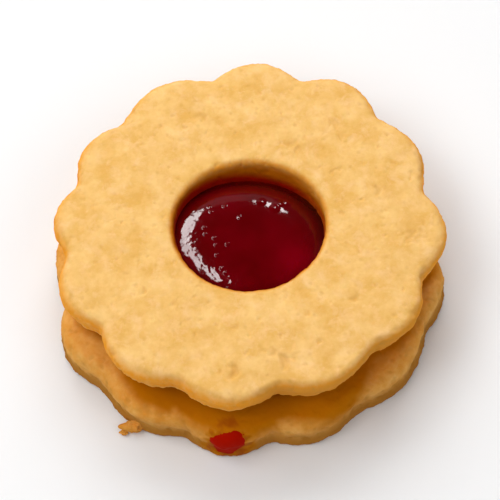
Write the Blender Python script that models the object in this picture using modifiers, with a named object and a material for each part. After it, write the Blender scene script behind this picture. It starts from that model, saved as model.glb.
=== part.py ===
"""Linzer cookie: two fluted shortbread rounds joined by jam, which also fills the hole of the upper round.

Metres, +Z up. The cookie rests on z = 0, and its box is centred on the Z axis.
"""

import math

import bpy
import numpy as np

MM = 0.001

# Heights
BASE_THICK = 5.6 * MM
JAM_LAYER = 2.2 * MM
TOP_THICK = 5.0 * MM
JOINT_GAP = 0.3 * MM      # air between pieces that touch
TOP_UNDERSIDE = BASE_THICK + JAM_LAYER

# Where the two rounds lie: the upper one sits a little back and to the right
BASE_MIDDLE = (-0.22 * MM, -0.41 * MM)
TOP_MIDDLE = (0.28 * MM, 1.19 * MM)

# Fluted edge: for each lobe the direction of the notch before it, degrees, the lobe's reach from the middle
# and the notch's depth, mm
ROUND_RADIUS = 24.6 * MM
FLUTE_FADE_START = 12.0 * MM      # inside this radius the round isn't drawn in by its notches
FLUTE_FADE_POWER = 1.5
NOTCH_SOFTNESS = 0.16              # rounds the bottom of each notch
TOP_LOBES = (
    (13.6, 24.2, 2.0), (44.8, 24.4, 1.7), (74.4, 24.2, 2.0), (104.8, 24.1, 2.1),
    (138.9, 24.3, 1.6), (165.2, 24.8, 1.6), (190.0, 25.2, 1.6), (217.9, 24.7, 2.0),
    (248.8, 24.5, 1.7), (281.8, 24.3, 1.9), (314.9, 24.7, 1.4), (342.1, 25.0, 1.7),
)
BASE_LOBES = (
    (7.5, 24.5, 1.7), (38.0, 24.6, 1.6), (68.0, 24.5, 1.6), (98.5, 24.5, 1.6),
    (129.5, 24.6, 1.6), (160.5, 24.9, 1.6), (192.4, 25.7, 1.6), (221.8, 25.0, 1.1),
    (251.5, 25.0, 1.3), (278.7, 24.7, 1.6), (307.6, 25.0, 1.2), (340.8, 25.0, 1.0),
)

# Section of a round
TOP_SHOULDER = 1.6 * MM
BASE_SHOULDER = 1.7 * MM
TOP_DRAFT = 0.8 * MM        # how much the upper round draws in from its shoulder to its foot
FOOT_RADIUS = 0.8 * MM
FACE_SAG = 0.3 * MM         # how much the face sinks from its crest to its shoulder
HOLE_RADIUS = 9.6 * MM      # just below the rounded rim
HOLE_LOW_RADIUS = 9.1 * MM  # at the underside
HOLE_RIM_RADIUS = 0.9 * MM
HOLE_FOOT_RADIUS = 0.4 * MM
HOLE_SQUASH_FRONT = 0.02    # how much less the hole reaches to the front than across
HOLE_SQUASH_BACK = 0.09     # and to the back
SQUASH_START = 10.5 * MM    # the squash fades out between these radii
SQUASH_END = 16.0 * MM
ARC_STEPS = 3
SHOULDER_STEPS = 4

# Jam
JAM_LAYER_RADIUS = 20.2 * MM
JAM_HOLE_GAP = 0.3 * MM
JAM_CREST_BELOW_FACE = 1.2 * MM
JAM_EDGE_BELOW_FACE = 3.1 * MM      # on average
JAM_EDGE_TILT = 1.8 * MM            # how much deeper than that on the side the edge leans to
JAM_LEAN = 62                       # direction it leans to, degrees
JAM_DOME_POWER = 4
JAM_DOME_RINGS = 8
JAM_SQUEEZE = 2.6 * MM              # how far the layer runs out towards the front lobe
JAM_SQUEEZE_DIRECTION = 266
JAM_SQUEEZE_WIDTH = 9
JAM_SQUEEZE_START = 12.0 * MM

# Uneven surface of the baked dough
RELIEF = 0.10 * MM
RELIEF_WAVES = 9
RELIEF_SHORTEST = 3.5 * MM
RELIEF_LONGEST = 10.0 * MM
TOP_RELIEF_SEED = 11
BASE_RELIEF_SEED = 5
RELIEF_CLEARANCE = 1.0 * MM      # up to this height above the underside there is no relief

ROUND_STEPS = 120
JAM_STEPS = 72
MERGE_DISTANCE = 1e-6


def clear_scene():
    for thing in list(bpy.data.objects):
        bpy.data.objects.remove(thing, do_unlink=True)


def parts_collection():
    collection = bpy.data.collections.new("Linzer cookie")
    bpy.context.scene.collection.children.link(collection)
    return collection


def food_material(name, colour, roughness):
    """Principled material of one food, with its linear colour."""
    material = bpy.data.materials.new(name)
    material.use_nodes = True
    shader = material.node_tree.nodes["Principled BSDF"]
    shader.inputs["Base Color"].default_value = (*colour, 1.0)
    shader.inputs["Roughness"].default_value = roughness
    shader.inputs["Metallic"].default_value = 0.0
    material.diffuse_color = (*colour, 1.0)
    return material


def arc(middle, radius, start, end, steps):
    """Points of an arc in the section plane, from one direction to another, in degrees."""
    turns = [math.radians(start + (end - start) * step / steps) for step in range(steps + 1)]
    return [(middle[0] + radius * math.cos(turn), middle[1] + radius * math.sin(turn)) for turn in turns]


def face_points(inner, outer, thickness, rings):
    """Rings of the upper face, which sinks a little from its middle ring out to its shoulder."""
    points = []
    for ring in range(1, rings):
        share = ring / rings
        points.append((inner + (outer - inner) * share, thickness - FACE_SAG * share ** 3))
    return points


def outer_side(thickness, rounding, draft):
    """Shoulder, wall and foot of a round, from the top down."""
    shoulder = (ROUND_RADIUS - rounding, thickness - FACE_SAG - rounding)
    foot = (ROUND_RADIUS - draft - FOOT_RADIUS, FOOT_RADIUS)
    return (
        arc(shoulder, rounding, 90, 0, SHOULDER_STEPS)
        + arc(foot, FOOT_RADIUS, 0, -90, ARC_STEPS)
    )


def hole_side(thickness):
    """Foot, tapering wall and rim of the hole, from the bottom up."""
    foot = (HOLE_LOW_RADIUS + HOLE_FOOT_RADIUS, HOLE_FOOT_RADIUS)
    rim = (HOLE_RADIUS + HOLE_RIM_RADIUS, thickness - HOLE_RIM_RADIUS)
    return (
        arc(foot, HOLE_FOOT_RADIUS, -90, -180, 1)
        + arc(rim, HOLE_RIM_RADIUS, 180, 90, ARC_STEPS)
    )


def turned_mesh(name, profile, steps, closed):
    """Mesh of a profile turned round the Z axis with a Screw modifier."""
    edges = [(index, index + 1) for index in range(len(profile) - 1)]
    if closed:
        edges.append((len(profile) - 1, 0))
    section = bpy.data.meshes.new(name + " section")
    section.from_pydata([(x, 0.0, z) for x, z in profile], edges, [])
    turning = bpy.data.objects.new(name + " section", section)
    bpy.context.scene.collection.objects.link(turning)
    screw = turning.modifiers.new("Turn", "SCREW")
    screw.axis = "Z"
    screw.angle = math.tau
    screw.steps = steps
    screw.render_steps = steps
    screw.use_merge_vertices = True
    screw.merge_threshold = MERGE_DISTANCE
    bpy.context.view_layer.update()
    graph = bpy.context.evaluated_depsgraph_get()
    mesh = bpy.data.meshes.new_from_object(turning.evaluated_get(graph))
    mesh.name = name
    bpy.data.objects.remove(turning, do_unlink=True)
    bpy.data.meshes.remove(section)
    return mesh


def mesh_points(mesh):
    points = np.empty(len(mesh.vertices) * 3)
    mesh.vertices.foreach_get("co", points)
    return points.reshape(-1, 3)


def set_mesh_points(mesh, points):
    mesh.vertices.foreach_set("co", points.reshape(-1))
    mesh.update()


def lobed_radius(angles, lobes):
    """Radius of the fluted edge: half a sine wave between two notches, rounded off at the notches."""
    notches, reaches, depths = np.array(lobes).T
    reaches = reaches * MM
    notch_radii = (reaches + np.roll(reaches, 1)) / 2 - depths * MM
    turns = (angles - notches[0]) % 360 + notches[0]
    lobe = np.searchsorted(notches, turns, side="right") - 1
    following = (lobe + 1) % len(lobes)
    width = (notches[following] - notches[lobe]) % 360
    share = (turns - notches[lobe]) / width
    floor = notch_radii[lobe] * (1 - share) + notch_radii[following] * share
    wave = np.sqrt(np.sin(np.pi * share) ** 2 + NOTCH_SOFTNESS ** 2) - NOTCH_SOFTNESS
    wave /= math.sqrt(1 + NOTCH_SOFTNESS ** 2) - NOTCH_SOFTNESS
    return floor + (reaches[lobe] - floor) * wave


def flute(points, lobes):
    """Moves each point in or out so that the edge follows its lobes, less and less towards the middle."""
    radii = np.hypot(points[:, 0], points[:, 1])
    angles = np.degrees(np.arctan2(points[:, 1], points[:, 0]))
    share = np.clip((radii - FLUTE_FADE_START) / (ROUND_RADIUS - FLUTE_FADE_START), 0, None)
    pull = (lobed_radius(angles, lobes) - ROUND_RADIUS) * share ** FLUTE_FADE_POWER
    scale = 1 + pull / np.maximum(radii, MERGE_DISTANCE)
    points[:, 0] *= scale
    points[:, 1] *= scale


def squash(points):
    """Draws the points about the hole together front to back, fading from SQUASH_START to SQUASH_END."""
    radii = np.hypot(points[:, 0], points[:, 1])
    share = np.clip((SQUASH_END - radii) / (SQUASH_END - SQUASH_START), 0, 1)
    amount = np.where(points[:, 1] > 0, HOLE_SQUASH_BACK, HOLE_SQUASH_FRONT)
    points[:, 1] *= 1 - amount * share


def lean_edge(points, dome_radius, layer_top):
    """Lowers the dome's edge on the side it leans to and lifts it on the other, by a cosine."""
    share = np.hypot(points[:, 0], points[:, 1]) / dome_radius
    turns = np.arctan2(points[:, 1], points[:, 0]) - math.radians(JAM_LEAN)
    tilt = JAM_EDGE_TILT * np.cos(turns) * np.clip(share, 0, 1) ** JAM_DOME_POWER
    points[:, 2] -= tilt * (points[:, 2] > layer_top + MERGE_DISTANCE)


def press_out(points):
    """Runs the layer out towards the front lobe by a bell curve of the direction."""
    radii = np.hypot(points[:, 0], points[:, 1])
    angles = np.degrees(np.arctan2(points[:, 1], points[:, 0]))
    aside = (angles - JAM_SQUEEZE_DIRECTION + 180) % 360 - 180
    share = np.clip((radii - JAM_SQUEEZE_START) / (JAM_LAYER_RADIUS - JAM_SQUEEZE_START), 0, 1)
    push = JAM_SQUEEZE * np.exp(-(aside / JAM_SQUEEZE_WIDTH) ** 2) * share
    scale = 1 + push / np.maximum(radii, MERGE_DISTANCE)
    points[:, 0] *= scale
    points[:, 1] *= scale


def roughen(mesh, seed):
    """Lifts and sinks the baked skin by a sum of slow waves, and leaves the underside flat."""
    random = np.random.default_rng(seed)
    points = mesh_points(mesh)
    normals = np.empty(len(points) * 3)
    mesh.vertex_normals.foreach_get("vector", normals)
    height = np.zeros(len(points))
    for _ in range(RELIEF_WAVES):
        heading = random.normal(size=3)
        heading /= np.linalg.norm(heading)
        length = random.uniform(RELIEF_SHORTEST, RELIEF_LONGEST)
        height += np.cos(points @ heading * math.tau / length + random.uniform(0, math.tau))
    height *= RELIEF / math.sqrt(RELIEF_WAVES)
    height *= np.clip(points[:, 2] / RELIEF_CLEARANCE - 1, 0, 1)
    set_mesh_points(mesh, points + normals.reshape(-1, 3) * height[:, None])


def place(name, mesh, location, material, collection):
    mesh.materials.append(material)
    mesh.shade_smooth()
    thing = bpy.data.objects.new(name, mesh)
    thing.location = location
    collection.objects.link(thing)
    return thing


def add_base(collection):
    """Lower round, whole, with its flat underside on z = 0."""
    crest = BASE_THICK
    shoulder_radius = ROUND_RADIUS - BASE_SHOULDER
    profile = (
        [(0.0, crest)]
        + face_points(0.0, shoulder_radius, crest, 7)
        + outer_side(BASE_THICK, BASE_SHOULDER, 0.0)
        + [(0.0, 0.0)]
    )
    mesh = turned_mesh("biscuit_bottom", profile, ROUND_STEPS, False)
    points = mesh_points(mesh)
    flute(points, BASE_LOBES)
    set_mesh_points(mesh, points)
    roughen(mesh, BASE_RELIEF_SEED)
    material = food_material("Shortbread base", (0.62, 0.34, 0.11), 0.8)
    place("biscuit_bottom", mesh, (*BASE_MIDDLE, 0.0), material, collection)


def add_top(collection):
    """Upper round, a ring about its hole."""
    rim_radius = HOLE_RADIUS + HOLE_RIM_RADIUS
    profile = (
        face_points(rim_radius, ROUND_RADIUS - TOP_SHOULDER, TOP_THICK, 7)
        + outer_side(TOP_THICK, TOP_SHOULDER, TOP_DRAFT)
        + hole_side(TOP_THICK)
    )
    mesh = turned_mesh("biscuit_top", profile, ROUND_STEPS, True)
    points = mesh_points(mesh)
    squash(points)
    flute(points, TOP_LOBES)
    set_mesh_points(mesh, points)
    roughen(mesh, TOP_RELIEF_SEED)
    material = food_material("Shortbread top", (0.89, 0.55, 0.19), 0.8)
    place("biscuit_top", mesh, (*TOP_MIDDLE, TOP_UNDERSIDE), material, collection)


def add_jam(collection):
    """Jam: a layer between the rounds, pressed out at the front, and the dome that stands up in the hole."""
    bottom = BASE_THICK + JOINT_GAP
    layer_top = TOP_UNDERSIDE - JOINT_GAP
    face = TOP_UNDERSIDE + TOP_THICK
    dome_radius = HOLE_LOW_RADIUS - JAM_HOLE_GAP
    edge_radius = (layer_top - bottom) / 2
    dome = []
    for ring in range(JAM_DOME_RINGS + 1):
        share = math.sin(ring / JAM_DOME_RINGS * math.pi / 2)
        sink = (JAM_EDGE_BELOW_FACE - JAM_CREST_BELOW_FACE) * share ** JAM_DOME_POWER
        dome.append((dome_radius * share, face - JAM_CREST_BELOW_FACE - sink))
    profile = (
        dome
        + [(dome_radius, layer_top)]
        + arc((JAM_LAYER_RADIUS - edge_radius, bottom + edge_radius), edge_radius, 90, -90, 2 * ARC_STEPS)
        + [(0.0, bottom)]
    )
    mesh = turned_mesh("jam", profile, JAM_STEPS, False)
    points = mesh_points(mesh)
    lean_edge(points, dome_radius, layer_top)
    squash(points)
    press_out(points)
    set_mesh_points(mesh, points)
    material = food_material("Jam", (0.11, 0.002, 0.003), 0.15)
    place("jam", mesh, (*TOP_MIDDLE, 0.0), material, collection)


def main():
    clear_scene()
    collection = parts_collection()
    add_base(collection)
    add_jam(collection)
    add_top(collection)


main()
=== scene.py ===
"""Looks of the linzer cookie: two baked shortbread rounds, jam between them and in the hole, and crumbs."""

import math

import bpy
import numpy as np
from mathutils import Matrix, Vector


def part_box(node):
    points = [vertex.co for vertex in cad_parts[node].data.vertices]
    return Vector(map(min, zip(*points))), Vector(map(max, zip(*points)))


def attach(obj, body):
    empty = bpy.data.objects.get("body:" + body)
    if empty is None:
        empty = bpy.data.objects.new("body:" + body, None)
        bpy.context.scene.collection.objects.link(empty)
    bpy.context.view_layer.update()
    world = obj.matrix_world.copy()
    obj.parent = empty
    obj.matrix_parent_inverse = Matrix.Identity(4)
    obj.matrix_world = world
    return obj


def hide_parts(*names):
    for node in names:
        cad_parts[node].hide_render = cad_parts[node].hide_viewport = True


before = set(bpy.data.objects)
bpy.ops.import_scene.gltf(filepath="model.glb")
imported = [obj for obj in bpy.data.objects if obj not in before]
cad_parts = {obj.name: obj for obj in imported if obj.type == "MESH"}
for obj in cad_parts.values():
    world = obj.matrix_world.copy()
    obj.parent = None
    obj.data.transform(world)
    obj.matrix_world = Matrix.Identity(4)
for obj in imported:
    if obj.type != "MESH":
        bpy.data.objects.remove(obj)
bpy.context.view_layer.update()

MM = 0.001

# Heights: where the rounds lie, from the frame, and how thick they are
BASE_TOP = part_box("biscuit_bottom")[1].z
TOP_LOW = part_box("biscuit_top")[0].z
TOP_THICK = 5.0 * MM
BASE_THICK = 5.6 * MM
FACE_HEIGHT = TOP_LOW + TOP_THICK

# Middles of the rounds, and their fluted edges: for each lobe the direction of the notch before it, degrees,
# the lobe's reach from the middle and the notch's depth, mm
BASE_MIDDLE = (-0.22 * MM, -0.41 * MM)
TOP_MIDDLE = (0.28 * MM, 1.19 * MM)
ROUND_RADIUS = 24.6 * MM
FLUTE_FADE_START = 12.0 * MM
FLUTE_FADE_POWER = 1.5
NOTCH_SOFTNESS = 0.16
TOP_LOBES = (
    (13.6, 24.2, 2.0), (44.8, 24.4, 1.7), (74.4, 24.2, 2.0), (104.8, 24.1, 2.1),
    (138.9, 24.3, 1.6), (165.2, 24.8, 1.6), (190.0, 25.2, 1.6), (217.9, 24.7, 2.0),
    (248.8, 24.5, 1.7), (281.8, 24.3, 1.9), (314.9, 24.7, 1.4), (342.1, 25.0, 1.7),
)
BASE_LOBES = (
    (7.5, 24.5, 1.7), (38.0, 24.6, 1.6), (68.0, 24.5, 1.6), (98.5, 24.5, 1.6),
    (129.5, 24.6, 1.6), (160.5, 24.9, 1.6), (192.4, 25.7, 1.6), (221.8, 25.0, 1.1),
    (251.5, 25.0, 1.3), (278.7, 24.7, 1.6), (307.6, 25.0, 1.2), (340.8, 25.0, 1.0),
)

# Section of a round
TOP_SHOULDER = 1.6 * MM
BASE_SHOULDER = 1.7 * MM
FACE_SAG = 0.3 * MM
WAIST = 0.22 * MM           # how far the wall draws in between shoulder and foot
LIP = 0.12 * MM             # how far the foot stands proud of the wall
TOP_DRAFT = 0.8 * MM        # how much the upper round draws in from its shoulder to its foot
TOP_SHEAR = (-0.5 * MM, -0.1 * MM)  # how far its foot lies aside of its face, cut a little aslant
TOP_LEAN = 0.5 * MM         # how far the face leans out over the wall at the front
FOOT_RADIUS = 0.7 * MM
OUTER_WALL = (22.6 * MM, 24.0 * MM)  # from the face's last flat to the full wall
HOLE_RADIUS = 9.6 * MM      # just below the rounded rim
HOLE_LOW_RADIUS = 9.1 * MM  # at the underside
HOLE_RIM_RADIUS = 0.9 * MM
HOLE_FOOT_RADIUS = 0.4 * MM
HOLE_WALL = (10.3 * MM, 9.7 * MM)    # from the rim's outer edge to the full wall
HOLE_SQUASH_FRONT = 0.02    # how much less the hole reaches to the front than across
HOLE_SQUASH_BACK = 0.09     # and to the back
HOLE_SQUASH_FADE = (16 * MM, 10.5 * MM)

# Wrinkles of the upper face: place, heading in degrees, length, width and depth, mm
WRINKLES = (
    (5.4, -17.9, 110, 2.6, 0.90, 0.34), (4.0, -17.0, 60, 1.6, 0.80, 0.20), (-0.7, -19.6, 78, 2.6, 0.90, 0.34),
    (-15.7, 17.7, 35, 2.6, 0.80, 0.22), (5.2, 12.6, 20, 2.8, 0.80, 0.20), (-12.4, -8.6, 75, 1.6, 0.70, 0.18),
    (13.8, -9.4, 40, 1.8, 0.80, 0.20), (16.5, 6.0, 100, 1.8, 0.70, 0.18), (-6.4, 16.8, 160, 2.0, 0.80, 0.18),
)
WRINKLE_BEND = 1.6

# Jam in the hole
JAM_CREST = 1.2 * MM        # below the face
JAM_EDGE = 3.0 * MM         # below the face, on average
JAM_EDGE_TILT = 1.4 * MM    # how much deeper than that on the side it leans to
JAM_LEAN = 72               # direction it leans to
JAM_EDGE_BEND = 0.6 * MM    # and deeper there and opposite than on the two sides between
JAM_EDGE_RADIUS = 9.45 * MM
JAM_DOME_POWER = 4
# Bubbles and lumps under its skin: place from its middle, radius and height, mm
JAM_BUBBLES = (
    (-5.7, -0.1, 0.34, 0.13), (-4.4, -1.6, 0.32, 0.12), (-4.0, -4.0, 0.30, 0.12), (-2.7, -2.5, 0.34, 0.14),
    (-3.3, -5.8, 0.34, 0.13), (-3.3, 3.0, 0.36, 0.12), (-1.3, 1.3, 0.40, 0.10), (-5.2, 3.0, 0.30, 0.10),
    (-5.0, 2.2, 0.26, 0.10), (-4.2, -2.6, 0.26, 0.10), (-5.6, -1.0, 0.26, 0.11), (-2.8, -6.4, 0.30, 0.12),
    (1.4, 3.7, 0.75, 0.09), (3.1, 2.8, 0.80, 0.10), (4.6, 4.0, 0.80, 0.12), (3.8, 3.6, 0.70, 0.10),
)
# Painted glow where light comes through it: place from its middle, radius, mm, and strength
JAM_GLOW = (6.4, -4.8, 2.4, 0.8)

# Jam between the rounds
JAM_LAYER_RADIUS = 19.8 * MM
JAM_SQUEEZE = 2.6 * MM      # how far the layer runs out towards the front lobe
JAM_SQUEEZE_WIDTH = 9       # degrees to each side
JAM_INTO_TOP = 0.05 * MM    # how far it reaches into each round
JAM_INTO_BASE = 0.25 * MM

# Jam spot on the front of the lower round
SPOT_DIRECTION = 266.2
SPOT_MIDDLE = 2.7 * MM      # down the section from where the shoulder begins
SPOT_ASIDE = 2.7 * MM       # its reach to each side
SPOT_DOWN = 3.1 * MM        # and up and down
SPOT_SLANT = 0.15
SPOT_THICK = 0.52 * MM
SPOT_SINK = 0.20 * MM       # how far its rim lies below the dough
SPOT_REACH_IN = 2 * MM      # how much of the face its section takes in

# Crumbs: name, middle and size, mm, seed of their noise and length of their spike
CRUMBS = (
    ("crumb_large", (-14.1, -21.7, 0.95), (2.4, 1.9, 1.8), 3, 0.5),
    ("crumb_small", (-15.3, -22.3, 0.40), (1.1, 0.8, 0.7), 8, 0.4),
)
CRUMB_LOW = 0.03 * MM

# Fineness of the grids: columns round the axis, and rows where they aren't spaced by size
TOP_COLUMNS, BASE_COLUMNS, JAM_COLUMNS, SPOT_COLUMNS, CRUMB_COLUMNS = 690, 800, 560, 120, 64
DOME_ROWS, LAYER_EDGE_ROWS, SPOT_ROWS, CRUMB_ROWS = 120, 13, 40, 40

# Colours of the shortbread: the dough's own, where it is floury, the duller colour of toasting and of painted
# shade in hollows, the oven's brown, the deep orange of painted shade under the upper round and in the hole,
# and jam stain
FACE_TINTS = {
    "pale": "#F6C87E", "golden": "#E6B05C", "floury": "#FACE94", "dull_and_shade": "#CC9040", "brown": "#F8A22C",
    "amber": "#CC6E08", "stain": "#AC1604"}
BASE_TINTS = {
    "pale": "#F6C470", "golden": "#DA963E", "floury": "#F6C880", "dull_and_shade": "#B87A2C", "brown": "#EC9C38",
    "amber": "#C07202", "stain": "#8E1E08"}
# Colours of the jam: its body, its painted glow where light comes through, and its painted shade where it lies
# deep
JAM_TINTS = {"body": "#5A0003", "glow": "#7C0010", "deep": "#400004"}
SPOT_TINTS = {"body": "#B41400", "glow": "#8A0600", "deep": "#400004"}

# The photograph's camera, in its 500 pixel frame: focal length and pitch, the pixels of the face's middle and
# of the view's middle, and how much closer this view is framed
PHOTO_FOCAL = 800.0
PHOTO_PITCH = math.radians(50.4)
PHOTO_SIDE = 500
FACE_PIXEL = (197.8, 409.5)
VIEW_PIXEL = (198.0, 417.0)
CAMERA_DISTANCE = 387 * MM
CLOSER = 3.85
SENSOR = 36.0
NEAREST_SEEN = 10 * MM
FLOOR_SIDE = 6.0

# Soft panels: name, directions of the two ends (round from +X, and up, degrees), distance and width, m, and
# power, W. The first ones light the cookie and the table, and the others are only seen mirrored in the jam
LIGHTING_PANELS = (
    ("back", (90, 25), (90, 60), 0.75, 0.60, 3.3),
    ("back_left", (135, 25), (135, 60), 0.75, 0.60, 1.1),
    ("left", (180, 45), (180, 75), 0.75, 0.50, 1.8),
    ("front_left", (232, 42), (232, 72), 0.75, 0.60, 1.3),
    ("front_right", (315, 36), (315, 66), 0.75, 0.60, 1.05),
    ("right", (0, 28), (0, 55), 0.75, 0.50, 0.4),
)
MIRRORED_PANELS = (
    ("strip_low", (123, 34), (141, 52), 0.75, 0.20, 2.9),
    ("strip_middle", (141, 52), (153, 65), 0.75, 0.11, 0.9),
    ("strip_high", (153, 65), (190, 73), 0.75, 0.08, 0.8),
    ("lamp", (90, 48), (76, 41), 0.80, 0.10, 1.1),
    ("low_glow", (80, 34), (118, 34), 0.75, 0.22, 0.10),
)

# Sockets of a colour mix
MIX_SHARE, MIX_A, MIX_B, MIX_OUT = 0, 6, 7, 2

# The noise lattice stands askew, so that its rows don't line up with the cookie
SKEW = np.array(Matrix.Rotation(0.7, 3, Vector((0.3, 0.5, 0.8))))
NOISE_GAIN = 1.6


def linear(code):
    """Linear colour of an sRGB hex code."""
    parts = [int(code[place:place + 2], 16) / 255 for place in (1, 3, 5)]
    return tuple(part / 12.92 if part <= 0.04045 else ((part + 0.055) / 1.055) ** 2.4 for part in parts)


def smooth(low, high, value):
    """Rises from 0 at low to 1 at high along 3t^2 - 2t^3."""
    share = np.clip((value - low) / (high - low), 0, 1)
    return share * share * (3 - 2 * share)


def bearings(columns):
    """Directions of a grid's columns, evenly round from 0, in degrees."""
    return np.arange(columns) / columns * 360


def turned(angles, start):
    """Angles as they lie from a start direction, between -180 and 180 degrees."""
    return (angles - start + 180) % 360 - 180


def lattice_noise(points, size, seed):
    """Smooth noise of about -1 to 1, 0 on average, at points whose last axis is x, y and z.

    A cubic lattice of this cell size, turned askew, has a hashed direction at each corner. Each corner gives
    the dot product of its direction with the offset from it, blended by 6t^5 - 15t^4 + 10t^3.
    """
    scaled = points.reshape(-1, 3) @ SKEW / size + seed * 7.31
    cell = np.floor(scaled).astype(np.int64)
    share = scaled - cell
    blend = share ** 3 * (share * (share * 6 - 15) + 10)
    total = np.zeros(len(scaled))
    for corner in range(8):
        step = np.array([corner & 1, corner >> 1 & 1, corner >> 2 & 1])
        x, y, z = (cell + step).T
        key = (x * 73856093) ^ (y * 19349663) ^ (z * 83492791) ^ (seed * 2654435761)
        key = (key ^ (key >> 13)) * 1274126177 & 0x7FFFFFFF
        key ^= key >> 16
        offset = share - step
        slope = offset[:, 0] * ((key & 0xFF) / 127.5 - 1)
        slope += offset[:, 1] * ((key >> 8 & 0xFF) / 127.5 - 1)
        slope += offset[:, 2] * ((key >> 16 & 0xFF) / 127.5 - 1)
        total += np.prod(np.where(step, blend, 1 - blend), axis=1) * slope
    return (total * NOISE_GAIN).reshape(points.shape[:-1])


def layered_noise(points, size, seed, layers):
    """Sum of lattice noises, each half the size and six tenths the strength of the one before, about 0."""
    total = np.zeros(points.shape[:-1])
    strength, whole = 1.0, 0.0
    for layer in range(layers):
        total += strength * lattice_noise(points, size / 2 ** layer, seed + 17 * layer)
        whole += strength
        strength *= 0.6
    return total / whole


def creases(points, size, seed, width):
    """1 along the winding lines where a noise passes 0, and 0 away from them."""
    return 1 - smooth(0, width, np.abs(layered_noise(points, size, seed, 2)))


def wrinkled(points):
    """Depth of the wrinkles: each is 1 - s^2 along it and a bell curve across it, bent into an arc."""
    depth = np.zeros(points.shape[:2])
    for x, y, heading, length, width, deep in WRINKLES:
        turn = math.radians(heading)
        across, back = points[..., 0] - x * MM, points[..., 1] - y * MM
        along = (across * math.cos(turn) + back * math.sin(turn)) / (length * MM / 2)
        aside = (back * math.cos(turn) - across * math.sin(turn)) / (width * MM / 2)
        aside -= WRINKLE_BEND * along ** 2
        depth = np.maximum(depth, np.clip(1 - along ** 2, 0, 1) * np.exp(-aside ** 2) * deep * MM)
    return depth


def baked_skin(points, seed):
    """Height of the baked dough's skin: slow swells, crumb, small pits and a few short cracks."""
    swell = layered_noise(points, 6.0 * MM, seed, 2) * 0.12 * MM
    crumb = layered_noise(points, 1.7 * MM, seed + 1, 3) * 0.09 * MM
    pits = smooth(0.45, 0.75, lattice_noise(points, 0.8 * MM, seed + 2)) * -0.10 * MM
    cracked = smooth(0.25, 0.55, lattice_noise(points, 5.0 * MM, seed + 3))
    cracks = creases(points, 2.4 * MM, seed + 4, 0.10) * cracked * -0.08 * MM
    return swell + crumb + pits + cracks


def crumbly(points, seed):
    """Height of the torn crumb on walls and lips: coarse grains that stand out and break the edge's line."""
    return layered_noise(points, 1.3 * MM, seed, 3) * 0.30 * MM


def torn_lip(points, seed):
    """Height of the ragged lower edge, where the cutter tore the dough: short teeth of both signs."""
    return layered_noise(points, 0.9 * MM, seed, 2) * 0.28 * MM


def lobed_radius(angles, lobes):
    """Radius of the fluted edge: half a sine wave from each notch to the next, rounded at both."""
    notches, reaches, depths = np.array(lobes).T
    reaches = reaches * MM
    notch_radii = (reaches + np.roll(reaches, 1)) / 2 - depths * MM
    turns = (angles - notches[0]) % 360 + notches[0]
    lobe = np.searchsorted(notches, turns, side="right") - 1
    following = (lobe + 1) % len(lobes)
    share = (turns - notches[lobe]) / ((notches[following] - notches[lobe]) % 360)
    floor = notch_radii[lobe] * (1 - share) + notch_radii[following] * share
    wave = np.sqrt(np.sin(np.pi * share) ** 2 + NOTCH_SOFTNESS ** 2) - NOTCH_SOFTNESS
    wave /= math.sqrt(1 + NOTCH_SOFTNESS ** 2) - NOTCH_SOFTNESS
    return floor + (reaches[lobe] - floor) * wave


def fluted(radii, angles, lobes):
    """Radii of a turned form once its edge follows the lobes, less and less towards the middle."""
    share = np.clip((radii - FLUTE_FADE_START) / (ROUND_RADIUS - FLUTE_FADE_START), 0, None)
    return radii + (lobed_radius(angles, lobes) - ROUND_RADIUS) * share ** FLUTE_FADE_POWER


def arc(middle, radius, start, end, count=24):
    """Points along an arc of a section, from one direction to another in degrees."""
    turns = np.radians(np.linspace(start, end, count))
    return np.stack([middle[0] + radius * np.cos(turns), middle[1] + radius * np.sin(turns)], 1)


def run(start, end, count=60):
    """Points along a straight stretch of a section."""
    share = np.linspace(0, 1, count)[:, None]
    return np.array(start) * (1 - share) + np.array(end) * share


def resampled(outline, spacing):
    """Points along an outline, spaced as spacing says at each radius and height."""
    steps = np.hypot(*np.diff(outline, axis=0).T)
    middles = (outline[1:] + outline[:-1]) / 2
    rows = np.concatenate([[0], np.cumsum(steps / spacing(middles[:, 0], middles[:, 1]))])
    wanted = np.linspace(0, rows[-1], int(round(rows[-1])) + 1)
    return np.stack([np.interp(wanted, rows, outline[:, 0]), np.interp(wanted, rows, outline[:, 1])], 1)


def outer_side(thickness, rounding, draft=0):
    """Shoulder, drawn-in wall, proud lip and foot of a round, from the top down."""
    shoulder = arc((ROUND_RADIUS - rounding, thickness - FACE_SAG - rounding), rounding, 90, 0)
    foot = arc((ROUND_RADIUS + LIP - draft - FOOT_RADIUS, FOOT_RADIUS), FOOT_RADIUS, 0, -90)
    wall = run(shoulder[-1], foot[0])
    wall[:, 0] -= WAIST * np.sin(np.linspace(0, math.pi, len(wall))) ** 1.5
    return np.concatenate([shoulder, wall[1:-1], foot])


def face_run(inner, outer, thickness):
    """Upper face, sinking by the cube of the way out to the shoulder."""
    points = run((inner, thickness), (outer, thickness), 200)
    share = (points[:, 0] - inner) / (outer - inner)
    points[:, 1] -= FACE_SAG * share ** 3
    return points


def spun(section, columns, middle, height, lobes):
    """Grid of a section turned about the axis, with its edge drawn to the lobes."""
    angles = bearings(columns)
    turns = np.radians(angles)
    radii = fluted(section[:, :1], angles, lobes)
    heights = np.broadcast_to(section[:, 1:], radii.shape)
    return np.stack([
        middle[0] + radii * np.cos(turns),
        middle[1] + radii * np.sin(turns),
        height + heights,
    ], -1)


def squashed(points, radii):
    """Draws the points about the hole together front to back, less and less outwards."""
    back = points[..., 1] - TOP_MIDDLE[1]
    amount = np.where(back > 0, HOLE_SQUASH_BACK, HOLE_SQUASH_FRONT)
    points[..., 1] -= back * amount * smooth(*HOLE_SQUASH_FADE, radii)
    return points


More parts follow.
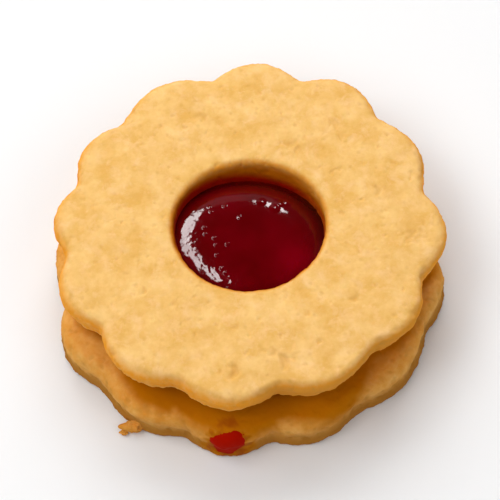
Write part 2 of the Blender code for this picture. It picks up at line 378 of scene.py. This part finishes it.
def grid_mesh(name, points, closed_rows, poles):
    """Mesh of a grid of points, rows along the section and columns round the axis, whose columns close.

    closed_rows joins the last row to the first; poles closes both ends with a fan of triangles.
    """
    rows, columns = points.shape[:2]
    index = np.arange(rows * columns).reshape(rows, columns)
    upper, lower = (index, np.roll(index, -1, 0)) if closed_rows else (index[:-1], index[1:])
    quads = np.stack([upper, lower, np.roll(lower, -1, 1), np.roll(upper, -1, 1)], -1).reshape(-1, 4)
    vertices = points.reshape(-1, 3)
    fans = np.empty((0, 3), int)
    if poles:
        first, last = len(vertices), len(vertices) + 1
        vertices = np.concatenate([vertices, points[:1].mean(1), points[-1:].mean(1)])
        fans = np.concatenate([
            np.stack([index[0], np.roll(index[0], -1), np.full(columns, first)], 1),
            np.stack([np.roll(index[-1], -1), index[-1], np.full(columns, last)], 1),
        ])
    corners = np.concatenate([quads.reshape(-1), fans.reshape(-1)])
    starts = np.concatenate([np.arange(len(quads)) * 4, quads.size + np.arange(len(fans)) * 3])
    mesh = bpy.data.meshes.new(name)
    mesh.vertices.add(len(vertices))
    mesh.vertices.foreach_set("co", vertices.astype(np.float32).reshape(-1))
    mesh.loops.add(len(corners))
    mesh.loops.foreach_set("vertex_index", corners.astype(np.int32))
    mesh.polygons.add(len(starts))
    mesh.polygons.foreach_set("loop_start", starts.astype(np.int32))
    mesh.update(calc_edges=True)
    mesh.validate()
    mesh.shade_smooth()
    return mesh


def grid_normals(points, closed_rows):
    """Unit normals of a grid, from the differences to the neighbours along rows and columns."""
    if closed_rows:
        down = np.roll(points, -1, 0) - np.roll(points, 1, 0)
    else:
        down = np.gradient(points, axis=0)
    across = np.roll(points, -1, 1) - np.roll(points, 1, 1)
    normals = np.cross(down, across)
    return normals / np.maximum(np.linalg.norm(normals, axis=-1, keepdims=True), 1e-12)


def set_attribute(mesh, name, values):
    """Stores one number a vertex; the pole vertices, if any, take the mean of their row's end."""
    flat = values.reshape(-1)
    if len(mesh.vertices) > len(flat):
        flat = np.concatenate([flat, [values[0].mean(), values[-1].mean()]])
    attribute = mesh.attributes.new(name, "FLOAT", "POINT")
    attribute.data.foreach_set("value", flat.astype(np.float32))


def add_piece(mesh, material, slot, *nodes):
    """Puts a mesh into the scene as a piece of the cookie, in place of the solids that it replaces."""
    piece = bpy.data.objects.new(mesh.name, mesh)
    bpy.context.scene.collection.objects.link(piece)
    mesh.materials.append(material)
    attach(piece, "root")
    if nodes:
        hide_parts(*nodes)


def make_top(material):
    """Upper round: a ring whose section closes on itself, from the hole's rim out over the face, back below.

    Its foot is sheared aside of its face, and at the front its face leans out over the wall. The relief then
    moves each point along the normal: skin on the face, crumb on both walls, a torn lip and the wrinkles.
    """
    rim = HOLE_RADIUS + HOLE_RIM_RADIUS
    hole_foot = HOLE_LOW_RADIUS + HOLE_FOOT_RADIUS
    outline = np.concatenate([
        face_run(rim, ROUND_RADIUS - TOP_SHOULDER, TOP_THICK),
        outer_side(TOP_THICK, TOP_SHOULDER, TOP_DRAFT)[1:],
        run((ROUND_RADIUS + LIP - TOP_DRAFT - FOOT_RADIUS, 0), (hole_foot, 0), 200)[1:],
        arc((hole_foot, HOLE_FOOT_RADIUS), HOLE_FOOT_RADIUS, -90, -180)[1:],
        arc((rim, TOP_THICK - HOLE_RIM_RADIUS), HOLE_RIM_RADIUS, 180, 90),
    ])

    def spacing(radius, height):
        """0.19 mm, and 1.3 mm more on the underside, which hardly shows."""
        below = smooth(0.9 * MM, 0.2 * MM, height)
        return (0.19 + 1.3 * below * (radius < 23.5 * MM)) * MM

    section = resampled(outline, spacing)[:-1]
    radius, height = section[:, :1], section[:, 1:]
    points = squashed(spun(section, TOP_COLUMNS, TOP_MIDDLE, TOP_LOW, TOP_LOBES), radius)
    outer = smooth(14 * MM, 21 * MM, radius)
    points[..., :2] += (outer * (1 - height / TOP_THICK))[..., None] * np.array(TOP_SHEAR)
    front = smooth(0, -0.8, np.sin(np.radians(bearings(TOP_COLUMNS))))
    points[..., 1] -= TOP_LEAN * front * outer * height / TOP_THICK

    wall = smooth(*OUTER_WALL, radius)
    relief = baked_skin(points, 3) * (1 - 0.5 * wall)
    relief += crumbly(points, 31) * (0.75 * wall + 0.35 * smooth(*HOLE_WALL, radius))
    relief += torn_lip(points, 57) * smooth(1.8 * MM, 0.9 * MM, height) * wall
    relief -= wrinkled(points) * (height > TOP_THICK - 0.8 * MM)
    above = smooth(0.0, 0.5 * MM, height)
    points = points + grid_normals(points, True) * (relief * above)[..., None]
    mesh = grid_mesh("top_round", points, True, False)
    paint_top(mesh, radius, height, relief)
    add_piece(mesh, material, "shortbread_top", "biscuit_top")


def paint_top(mesh, radius, height, relief):
    """Browning, dulling, painted shade and jam stain of the upper round, 0 to 1, and its relief in tenths of a
    millimetre.

    The side browns from just below the face; at the front right painted shade makes it browner and duller.
    The hole's wall browns too, and painted shade darkens it, less at the right, where light falls on it.
    It reddens towards the jam's edge from 2.9 mm above it.
    """
    angles = bearings(TOP_COLUMNS)
    side = smooth(TOP_THICK - 0.25 * MM, TOP_THICK - 1.3 * MM, height) * smooth(20.0 * MM, 21.0 * MM, radius)
    side = side * (0.94 - 0.3 * smooth(1.4 * MM, 0.4 * MM, height))
    # Painted shade: the side at the front right is made browner and duller
    right_shade = smooth(266, 280, angles) * smooth(345, 315, angles)
    in_hole = smooth(*HOLE_WALL, radius)
    # Painted shade on the hole's wall, less at the right, where light falls on it
    lit_right = 0.4 * smooth(50, 15, np.abs(turned(angles, 10)))
    shade_and_damp = 0.5 * smooth(TOP_THICK - 0.2 * MM, TOP_THICK - 1.9 * MM, height) * (1 - lit_right)
    jam_line = TOP_THICK - jam_edge_depth(angles)
    red = 0.5 * smooth(jam_line + 2.9 * MM, jam_line + 1.0 * MM, height)
    set_attribute(mesh, "browning_and_shade", side * (1 + 0.5 * right_shade) + 0.8 * in_hole)
    set_attribute(mesh, "toasting_and_shade", side * 0.5 * right_shade)
    set_attribute(mesh, "stain_and_shade", in_hole * (shade_and_damp + red))
    set_attribute(mesh, "relief", relief / (0.1 * MM))


def make_base(material):
    """Lower round: a whole disc, from the middle of its face out over the wall to its underside's middle.

    The relief moves each point along the normal, skin on the face and crumb on the wall. It fades out to the
    foot and under the jam.
    """
    outline = np.concatenate([
        face_run(0.0, ROUND_RADIUS - BASE_SHOULDER, BASE_THICK),
        outer_side(BASE_THICK, BASE_SHOULDER)[1:],
        run((ROUND_RADIUS + LIP - FOOT_RADIUS, 0), (0, 0), 200)[1:],
    ])

    def spacing(radius, height):
        """0.17 mm, and 1 mm more under the jam and below, at any height."""
        return (0.17 + smooth(20.0 * MM, 17.0 * MM, radius)) * MM

    section = resampled(outline, spacing)[1:-1]
    radius, height = section[:, :1], section[:, 1:]
    points = spun(section, BASE_COLUMNS, BASE_MIDDLE, 0.0, BASE_LOBES)

    relief = baked_skin(points, 7) * (1 - 0.4 * smooth(*OUTER_WALL, radius))
    relief += crumbly(points, 71) * 0.95 * smooth(20.8 * MM, 23.4 * MM, radius)
    shown = smooth(0.0, 0.6 * MM, height) * smooth(15.0 * MM, 18.0 * MM, radius)
    points = points + grid_normals(points, False) * (relief * shown)[..., None]
    mesh = grid_mesh("base_round", points, False, True)
    paint_base(mesh, points, radius, height, relief)
    add_piece(mesh, material, "shortbread_base", "biscuit_bottom")


def paint_base(mesh, points, radius, height, relief):
    """Browning, dulling, jam stain and painted shade of the lower round, 0 to 1, and its relief in tenths of a
    millimetre.

    The wall is duller towards the foot. The stain fades out from the jam spot along a torn line. Near the jam
    lies painted shade: covered is how far a point lies inside the upper round's edge, and the painted shade
    reaches forward of that edge at the front, less and less to both sides, with a ragged border, and under the
    jam.
    """
    aside = np.radians(turned(bearings(BASE_COLUMNS), SPOT_DIRECTION)) * ROUND_RADIUS
    spread = np.hypot(aside / (4.3 * MM), (height - 3.0 * MM) / (5.2 * MM))
    torn = layered_noise(points, 1.4 * MM, 91, 3)
    stain = 0.75 * smooth(1.0, 0.35, spread + 0.5 * torn) * smooth(20.0 * MM, 22.0 * MM, radius)

    # Painted shade, deep orange, under the upper round's edge and under the jam
    x, y = points[..., 0] - TOP_MIDDLE[0], points[..., 1] - TOP_MIDDLE[1]
    angles = np.degrees(np.arctan2(y, x)) % 360
    covered = lobed_radius(angles, TOP_LOBES) - np.hypot(x, y)
    ragged = layered_noise(points, 2.2 * MM, 93, 3)
    forward = (2.2 - 2.8 * smooth(22, 50, np.abs(turned(angles, 272))) + 0.7 * ragged) * MM
    shade_and_damp = 0.5 * smooth(-0.7 * MM - forward, 1.3 * MM - forward, covered) * smooth(2.2 * MM, 4.4 * MM, height)
    shade_and_damp += 0.5 * smooth(20.0 * MM, 19.0 * MM, radius)

    everywhere = np.ones(points.shape[:2])
    browning_and_shade = 0.38 + 0.17 * smooth(3.6 * MM, 4.8 * MM, height)
    toasting_and_shade = smooth(4.2 * MM, 0.9 * MM, height) * smooth(22.0 * MM, 23.0 * MM, radius)
    set_attribute(mesh, "browning_and_shade", everywhere * browning_and_shade)
    set_attribute(mesh, "toasting_and_shade", everywhere * toasting_and_shade)
    set_attribute(mesh, "stain_and_shade", np.maximum(stain, shade_and_damp))
    set_attribute(mesh, "relief", relief / (0.1 * MM))


def jam_bubbles(x, y):
    """Bubbles and lumps under the jam's skin: low mounds, (1 - gap^2)^2 of their height over their radius."""
    mounds = np.zeros_like(x)
    for across, along, size, rise in JAM_BUBBLES:
        gap = np.hypot(x - across * MM, y - along * MM) / (size * MM)
        mounds = np.maximum(mounds, np.clip(1 - gap ** 2, 0, 1) ** 2 * rise * MM)
    return mounds


def jam_edge_depth(angles):
    """Depth of the jam's edge below the face: a mean and cosines of the bearing and of twice the bearing."""
    bearing = np.radians(angles - JAM_LEAN)
    return JAM_EDGE + JAM_EDGE_TILT * np.cos(bearing) + JAM_EDGE_BEND * np.cos(2 * bearing)


def jam_dome(angles):
    """Rows of the jam's dome, from its middle out: it sinks to its edge by the fourth power of the way.

    Slow ripples, fine wrinkles near the edge and the bubbles are added to its height.
    """
    turns = np.radians(angles)
    share = np.linspace(0, 1, DOME_ROWS + 1)[1:, None]
    x, y = JAM_EDGE_RADIUS * share * np.cos(turns), JAM_EDGE_RADIUS * share * np.sin(turns)
    y = y * (1 - np.where(y > 0, HOLE_SQUASH_BACK, HOLE_SQUASH_FRONT))
    flat = np.stack([x, y, np.zeros_like(x)], -1)
    sink = JAM_CREST + (jam_edge_depth(angles) - JAM_CREST) * share ** JAM_DOME_POWER
    ripple = layered_noise(flat, 4.0 * MM, 41, 2) * 0.035 * MM
    wrinkle = layered_noise(flat, 0.8 * MM, 43, 2) * 0.025 * MM * smooth(0.5, 0.8, share)
    height = FACE_HEIGHT - sink + ripple + wrinkle + jam_bubbles(x, y)
    return np.stack([TOP_MIDDLE[0] + x, TOP_MIDDLE[1] + y, height], -1)


def make_jam(material):
    """Jam: a dome in the hole, the neck below it, and the layer between the rounds, pressed out at the front.

    The layer's edge is half a circle in section. Its reach wavers, with a bell curve more at the front lobe.
    """
    angles = bearings(JAM_COLUMNS)
    turns = np.radians(angles)

    def ring(radius, height):
        """One row of the grid, round the hole's middle."""
        return np.stack([
            TOP_MIDDLE[0] + radius * np.cos(turns),
            TOP_MIDDLE[1] + radius * np.sin(turns),
            np.full(JAM_COLUMNS, height),
        ], -1)

    round_about = np.stack([np.cos(turns), np.sin(turns), np.zeros(JAM_COLUMNS)], -1)
    waver = layered_noise(round_about * 4 * MM, 2.0 * MM, 47, 2) * 0.6 * MM
    squeezed = JAM_SQUEEZE * np.exp(-(turned(angles, SPOT_DIRECTION) / JAM_SQUEEZE_WIDTH) ** 2)
    reach = JAM_LAYER_RADIUS + waver + squeezed
    layer_top, layer_low = TOP_LOW + JAM_INTO_TOP, BASE_TOP - JAM_INTO_BASE
    half = (layer_top - layer_low) / 2
    rows = [ring(JAM_EDGE_RADIUS, TOP_LOW), ring(JAM_EDGE_RADIUS + 2 * MM, layer_top)]
    for turn in np.radians(np.linspace(90, -90, LAYER_EDGE_ROWS)):
        rows.append(ring(reach - half + half * math.cos(turn), layer_low + half + half * math.sin(turn)))

    points = np.concatenate([jam_dome(angles), np.stack(rows)])
    mesh = grid_mesh("jam_filling", points, False, True)
    # Painted glow where light comes through the jam, strongest at the front right
    glow_x, glow_y, glow_size, glow_strength = JAM_GLOW
    across, along = (points[..., 0] - TOP_MIDDLE[0]) / MM, (points[..., 1] - TOP_MIDDLE[1]) / MM
    gap = np.hypot(across - glow_x, along - glow_y) / glow_size
    set_attribute(mesh, "lit", glow_strength * np.exp(-gap ** 2))
    # Painted shade where the jam lies deep in the hole
    set_attribute(mesh, "deep", smooth(1.5 * MM, 3.2 * MM, FACE_HEIGHT - points[..., 2]))
    add_piece(mesh, material, "jam", "jam")


def make_jam_spot(material):
    """Jam that ran down the front of the lower round: a thin drop whose rim sinks into the dough.

    Rings go out from its middle. At the share s of the way out, it stands proud of the wall by its lumpy
    thickness times 1 - s^2, less a little all over, so that its rim lies below the surface. Its place on the
    section gives the surface under it, and the section's slope the direction that it stands out in.
    """
    turns = -np.radians(bearings(SPOT_COLUMNS))
    share = np.linspace(0, 1, SPOT_ROWS + 1)[1:, None]
    round_about = np.stack([np.cos(turns), np.sin(turns), np.zeros(SPOT_COLUMNS)], -1)
    reach = share * (1 + 0.20 * layered_noise(round_about * 1.2 * MM, 1.4 * MM, 5, 2))
    down = SPOT_DOWN * reach * np.sin(turns)
    aside = SPOT_ASIDE * reach * np.cos(turns) - SPOT_SLANT * down

    section = np.concatenate([
        face_run(ROUND_RADIUS - BASE_SHOULDER - SPOT_REACH_IN, ROUND_RADIUS - BASE_SHOULDER, BASE_THICK),
        outer_side(BASE_THICK, BASE_SHOULDER)[1:],
    ])
    lengths = np.concatenate([[0], np.cumsum(np.hypot(*np.diff(section, axis=0).T))]) - SPOT_REACH_IN
    slope = np.gradient(section, axis=0)
    slope /= np.hypot(*slope.T)[:, None]
    place = SPOT_MIDDLE + down
    radius, height, outward, upward = (
        np.interp(place, lengths, values) for values in (*section.T, -slope[:, 1], slope[:, 0]))

    lumps = layered_noise(np.stack([aside, place, np.zeros_like(aside)], -1), 1.3 * MM, 61, 2) * 0.18 * MM
    proud = (SPOT_THICK + lumps) * (1 - share ** 2) - SPOT_SINK
    angles = SPOT_DIRECTION + np.degrees(aside / ROUND_RADIUS)
    radius = fluted(radius, angles % 360, BASE_LOBES) + proud * outward
    points = np.stack([
        BASE_MIDDLE[0] + radius * np.cos(np.radians(angles)),
        BASE_MIDDLE[1] + radius * np.sin(np.radians(angles)),
        np.maximum(height + proud * upward, 0.05 * MM),
    ], -1)
    add_piece(grid_mesh("jam_spot", points, False, True), material, "jam")


def crumb_points(middle, size, seed, spike):
    """Broken crumb: a ball whose radius is roughened by noise and torn flats, drawn out to one side."""
    turns = np.radians(bearings(CRUMB_COLUMNS))
    rises = np.radians(np.linspace(88, -88, CRUMB_ROWS))[:, None]
    way = np.stack([
        np.cos(rises) * np.cos(turns),
        np.cos(rises) * np.sin(turns),
        np.sin(rises) + np.zeros(CRUMB_COLUMNS),
    ], -1)
    rough = layered_noise(way * MM, 0.9 * MM, seed, 3)
    torn = np.abs(layered_noise(way * MM, 1.4 * MM, seed + 9, 2))
    radius = 1 + 0.45 * rough - 0.5 * torn + spike * np.clip(-way[..., 0], 0, 1) ** 12
    points = np.array(middle) * MM + way * radius[..., None] * np.array(size) * MM / 2
    points[..., 2] = np.maximum(points[..., 2], CRUMB_LOW)
    return points


def make_crumbs(material):
    """The crumb that clings to the foot of the lower round at the front left, and a smaller one beside it."""
    for name, middle, size, seed, spike in CRUMBS:
        points = crumb_points(middle, size, seed, spike)
        mesh = grid_mesh(name, points, False, True)
        for attribute, value in (("browning_and_shade", 0.7), ("toasting_and_shade", 0.3), ("stain_and_shade", 0.0), ("relief", 0.0)):
            set_attribute(mesh, attribute, np.full(points.shape[:2], value))
        add_piece(mesh, material, "shortbread_base")


def add_node(tree, kind, inputs=None, **settings):
    """Adds one node, sets its properties and fills or links its inputs."""
    node = tree.nodes.new(kind)
    for key, value in settings.items():
        setattr(node, key, value)
    for key, value in (inputs or {}).items():
        if isinstance(value, bpy.types.NodeSocket):
            tree.links.new(value, node.inputs[key])
        else:
            node.inputs[key].default_value = value
    return node


def blank_material(name):
    """New material with no nodes in it."""
    material = bpy.data.materials.new(name)
    material.use_nodes = True
    material.node_tree.nodes.clear()
    return material


def shortbread(name, tints):
    """Baked butter shortbread: a dry matt crumb, pale gold on the face, browner at the edge from the oven,
    with painted shade.
    """
    material = blank_material(name)
    tree = material.node_tree
    place = add_node(tree, "ShaderNodeTexCoord").outputs["Object"]
    patches = add_node(tree, "ShaderNodeTexNoise", {
        "Vector": place, "Scale": 1 / (3.2 * MM), "Detail": 5.0, "Roughness": 0.65})
    drifts = add_node(tree, "ShaderNodeTexNoise", {
        "Vector": place, "Scale": 1 / (1.9 * MM), "Detail": 4.0, "Roughness": 0.7, "Distortion": 0.4})
    grain = add_node(tree, "ShaderNodeTexNoise", {
        "Vector": place, "Scale": 1 / (0.8 * MM), "Detail": 3.0, "Roughness": 0.6})
    specks = add_node(tree, "ShaderNodeTexVoronoi", {"Vector": place, "Scale": 1 / (1.7 * MM)})
    browning_and_shade, toasting_and_shade, stain_and_shade, relief = (
        add_node(tree, "ShaderNodeAttribute", attribute_name=kept).outputs["Fac"]
        for kept in ("browning_and_shade", "toasting_and_shade", "stain_and_shade", "relief"))

    # The colour of the dough drifts between pale and golden over a few millimetres
    patch = add_node(tree, "ShaderNodeMapRange", {
        "Value": patches.outputs["Fac"], "From Min": 0.35, "From Max": 0.65})
    # Where flour lies in the dough it stays paler and a little pink
    flour = add_node(tree, "ShaderNodeMapRange", {
        "Value": drifts.outputs["Fac"], "From Min": 0.50, "From Max": 0.72, "To Max": 0.6})
    # The oven browns the edge unevenly; at the upper round's front right painted shade adds to the browning
    uneven = add_node(tree, "ShaderNodeMapRange", {
        "Value": grain.outputs["Fac"], "From Min": 0.3, "From Max": 0.7, "To Min": 0.75, "To Max": 1.15})
    baked = add_node(tree, "ShaderNodeMath", {
        0: browning_and_shade, 1: uneven.outputs["Result"]}, operation="MULTIPLY", use_clamp=True)
    # Toasting makes the wall's crust duller; painted shade darkens the hollows of the crumb and the upper
    # round's front right with the same colour
    hollow_shade = add_node(tree, "ShaderNodeMapRange", {
        "Value": relief, "From Min": -1.6, "From Max": -0.2, "To Min": 0.35, "To Max": 0.0})
    dulled_and_shaded = add_node(tree, "ShaderNodeMath", {
        0: hollow_shade.outputs["Result"], 1: toasting_and_shade}, operation="ADD", use_clamp=True)
    # A few darker specks of toasted butter and flour, about 0.3 mm across
    speck = add_node(tree, "ShaderNodeMapRange", {
        "Value": specks.outputs["Distance"],
        "From Min": 0.05, "From Max": 0.22, "To Min": 0.24, "To Max": 0.0})
    # Painted shade, deep orange, under the upper round and the jam and on the hole's wall, and red where the
    # jam lies on the dough
    shade_and_damp = add_node(tree, "ShaderNodeMapRange", {"Value": stain_and_shade, "From Max": 0.5})
    red = add_node(tree, "ShaderNodeMapRange", {"Value": stain_and_shade, "From Min": 0.5})

    colour = (*linear(tints["pale"]), 1)
    for share, tint in (
            (patch, "golden"), (flour, "floury"), (baked, "brown"), (dulled_and_shaded, "dull_and_shade"), (speck, "dull_and_shade"),
            (shade_and_damp, "amber"), (red, "stain")):
        colour = add_node(tree, "ShaderNodeMix", {
            MIX_SHARE: share.outputs[0], MIX_A: colour, MIX_B: (*linear(tints[tint]), 1),
        }, data_type="RGBA").outputs[MIX_OUT]
    # Dry dough is matt, and dough with jam on it is wet
    wet = add_node(tree, "ShaderNodeMapRange", {
        "Value": stain_and_shade, "From Min": 0.5, "From Max": 1.0, "To Min": 0.85, "To Max": 0.35})
    bump = add_node(tree, "ShaderNodeBump", {
        "Height": grain.outputs["Fac"], "Strength": 0.5, "Distance": 0.10 * MM})
    shader = add_node(tree, "ShaderNodeBsdfPrincipled", {
        "Base Color": colour, "Roughness": wet.outputs["Result"], "Normal": bump.outputs["Normal"],
        "IOR": 1.45, "Specular IOR Level": 0.08, "Subsurface Weight": 0.12,
        "Subsurface Radius": (1.0, 0.45, 0.15), "Subsurface Scale": 0.8 * MM})
    add_node(tree, "ShaderNodeOutputMaterial", {"Surface": shader.outputs["BSDF"]})
    return material


def cooked_jam(name, tints, roughness, shine):
    """Cooked berry jam: a clear set gel with a wet gloss, a painted glow, and nearly black red painted shade
    where it is deep.
    """
    material = blank_material(name)
    tree = material.node_tree
    place = add_node(tree, "ShaderNodeTexCoord").outputs["Object"]
    clouds = add_node(tree, "ShaderNodeTexNoise", {"Vector": place, "Scale": 1 / (5.0 * MM), "Detail": 2.0})
    shred = add_node(tree, "ShaderNodeTexNoise", {
        "Vector": place, "Scale": 1 / (0.9 * MM), "Detail": 3.0, "Roughness": 0.6})
    lit, deep = (
        add_node(tree, "ShaderNodeAttribute", attribute_name=kept).outputs["Fac"] for kept in ("lit", "deep"))

    # Painted glow of light coming through, in drifting clouds, and most at the front right
    cloud = add_node(tree, "ShaderNodeMapRange", {
        "Value": clouds.outputs["Fac"], "From Min": 0.4, "From Max": 0.7})
    through = add_node(tree, "ShaderNodeMath", {
        0: cloud.outputs["Result"], 1: 0.4, 2: lit}, operation="MULTIPLY_ADD", use_clamp=True)
    # Painted shade: where it lies deep in the hole the colour turns nearly black red
    colour = (*linear(tints["body"]), 1)
    for share, tint in ((through.outputs["Value"], "glow"), (deep, "deep")):
        colour = add_node(tree, "ShaderNodeMix", {
            MIX_SHARE: share, MIX_A: colour, MIX_B: (*linear(tints[tint]), 1),
        }, data_type="RGBA").outputs[MIX_OUT]
    bump = add_node(tree, "ShaderNodeBump", {
        "Height": shred.outputs["Fac"], "Strength": 0.25, "Distance": 0.05 * MM})
    shader = add_node(tree, "ShaderNodeBsdfPrincipled", {
        "Base Color": colour, "Normal": bump.outputs["Normal"], "Roughness": roughness, "IOR": 1.42,
        "Specular IOR Level": shine, "Subsurface Weight": 0.3, "Subsurface Radius": (1.0, 0.08, 0.06),
        "Subsurface Scale": 1.2 * MM})
    add_node(tree, "ShaderNodeOutputMaterial", {"Surface": shader.outputs["BSDF"]})
    return material


def make_floor():
    """Plain white table top, only there to stand on."""
    mesh = bpy.data.meshes.new("floor")
    half = FLOOR_SIDE / 2
    corners = [(-half, -half, 0), (half, -half, 0), (half, half, 0), (-half, half, 0)]
    mesh.from_pydata(corners, [], [(0, 1, 2, 3)])
    floor = bpy.data.objects.new("floor", mesh)
    bpy.context.scene.collection.objects.link(floor)
    material = blank_material("White table top")
    shader = add_node(material.node_tree, "ShaderNodeBsdfPrincipled", {
        "Base Color": (*linear("#F3F3F3"), 1), "Roughness": 0.7, "Specular IOR Level": 0.2})
    add_node(material.node_tree, "ShaderNodeOutputMaterial", {"Surface": shader.outputs["BSDF"]})
    mesh.materials.append(material)


def towards(azimuth, elevation):
    """Unit direction from a compass direction (0 along +X, 90 along +Y) and a height, in degrees."""
    turn, rise = math.radians(azimuth), math.radians(elevation)
    return Vector((math.cos(rise) * math.cos(turn), math.cos(rise) * math.sin(turn), math.sin(rise)))


def add_panel(name, start, end, distance, width, power, lighting):
    """Soft panel facing the cookie, its long side running from one direction to another."""
    first, last = towards(*start), towards(*end)
    middle = (first + last).normalized()
    along = (last - first).normalized()
    light = bpy.data.lights.new(name, "AREA")
    light.shape = "RECTANGLE"
    light.size = 2 * distance * math.tan(first.angle(last) / 2)
    light.size_y = width
    light.energy = power
    panel = bpy.data.objects.new(name, light)
    turn = Matrix((along, middle.cross(along), middle)).transposed()
    panel.matrix_world = Matrix.Translation(middle * distance) @ turn.to_4x4()
    panel.visible_diffuse = lighting
    panel.visible_glossy = not lighting
    bpy.context.scene.collection.objects.link(panel)


def make_lights():
    """Soft panels all round, strongest behind; strips that only the jam mirrors; a room dimmer overhead."""
    for panels, lighting in ((LIGHTING_PANELS, True), (MIRRORED_PANELS, False)):
        for panel in panels:
            add_panel(*panel, lighting)
    world = bpy.data.worlds.new("Dim room")
    bpy.context.scene.world = world
    world.use_nodes = True
    tree = world.node_tree
    way = add_node(tree, "ShaderNodeTexCoord").outputs["Generated"]
    height = add_node(tree, "ShaderNodeSeparateXYZ", {"Vector": way})
    glow = add_node(tree, "ShaderNodeMapRange", {
        "Value": height.outputs["Z"], "From Min": 0.45, "From Max": 0.85, "To Min": 0.06, "To Max": 0.01})
    shade = tree.nodes["Background"]
    shade.inputs["Color"].default_value = (*linear("#F4F2FF"), 1)
    tree.links.new(glow.outputs["Result"], shade.inputs["Strength"])


def make_camera():
    """The photograph's camera, turned to the cookie by the shortest turn and framed closer."""
    forward = Vector((0, math.cos(PHOTO_PITCH), -math.sin(PHOTO_PITCH)))
    right = Vector((1, 0, 0))
    down = forward.cross(right)

    def ray(pixel):
        """Direction that a pixel of the photograph looks in."""
        across, below = (value - PHOTO_SIDE / 2 for value in pixel)
        return ((right * across + down * below) / PHOTO_FOCAL + forward).normalized()

    place = Vector((*TOP_MIDDLE, FACE_HEIGHT)) - CAMERA_DISTANCE * ray(FACE_PIXEL)
    turn = forward.rotation_difference(ray(VIEW_PIXEL)).to_matrix()
    photo = Matrix((right, -down, -forward)).transposed()
    data = bpy.data.cameras.new("Camera")
    data.sensor_width = SENSOR
    data.lens = SENSOR * PHOTO_FOCAL * CLOSER / PHOTO_SIDE
    data.clip_start = NEAREST_SEEN
    camera = bpy.data.objects.new("Camera", data)
    camera.matrix_world = Matrix.Translation(place) @ (turn @ photo).to_4x4()
    bpy.context.scene.collection.objects.link(camera)
    bpy.context.scene.camera = camera


def main():
    """Camera, light and table top, then the cookie from its upper round down to the crumbs."""
    make_camera()
    make_lights()
    make_floor()
    face = shortbread("Shortbread, face", FACE_TINTS)
    base = shortbread("Shortbread, base", BASE_TINTS)
    make_top(face)
    make_base(base)
    make_jam(cooked_jam("Berry jam", JAM_TINTS, roughness=0.07, shine=0.5))
    make_jam_spot(cooked_jam("Berry jam, thin", SPOT_TINTS, roughness=0.6, shine=0.03))
    make_crumbs(base)
    bpy.context.scene.view_settings.view_transform = "Standard"


main()
